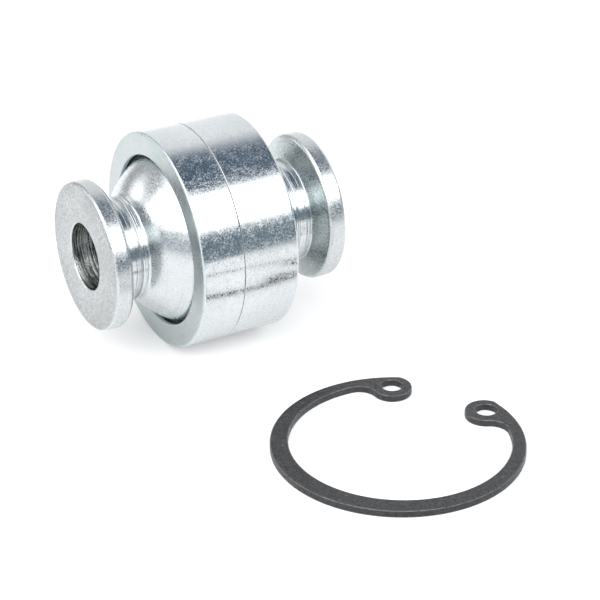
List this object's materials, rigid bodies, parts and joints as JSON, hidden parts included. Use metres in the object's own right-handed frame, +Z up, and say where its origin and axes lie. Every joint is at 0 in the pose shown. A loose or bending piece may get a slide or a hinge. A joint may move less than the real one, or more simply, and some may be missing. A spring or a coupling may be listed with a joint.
{
  "type": "spherical rod end bearing cartridge",
  "caption": "Spherical bearing cartridge for a rod end: a flanged spool ball with a bolt bore swivels in a split, lined race, with its internal snap ring lying beside it.",
  "frame": {"origin": "centre of the ball, on the axis of the bolt bore", "axes": "+X along the bolt bore towards the wider race half, +Z up, with the race lying on its side and the snap ring flat on the same surface towards -Y"},
  "size_m": [0.0711, 0.1256, 0.052],
  "materials": {
    "zinc_plate": "bright bluish zinc plating over turned steel",
    "liner_polymer": "matte dark low-friction polymer",
    "black_phosphate": "oiled black phosphate on stamped spring steel"
  },
  "bodies": {
    "race": {"front_race": "zinc_plate", "rear_race": "zinc_plate"},
    "liners": {"front_liner": "liner_polymer", "rear_liner": "liner_polymer"},
    "ball": {"swivel_ball": "zinc_plate"},
    "ring": {"snap_ring": "black_phosphate"}
  },
  "joints": [
    {"name": "liner_turn", "type": "hinge", "parent": "race", "child": "liners", "pos_m": [0, 0, 0], "axis": [1, 0, 0], "continuous": true},
    {"name": "ball_tilt", "type": "hinge", "parent": "liners", "child": "ball", "pos_m": [0, 0, 0], "axis": [0, 0, 1], "range_deg": [-26, 26]},
    {"name": "ring_lift", "type": "slide", "parent": "race", "child": "ring", "axis": [0, 0, 1], "range_m": [0, 0.03]}
  ]
}
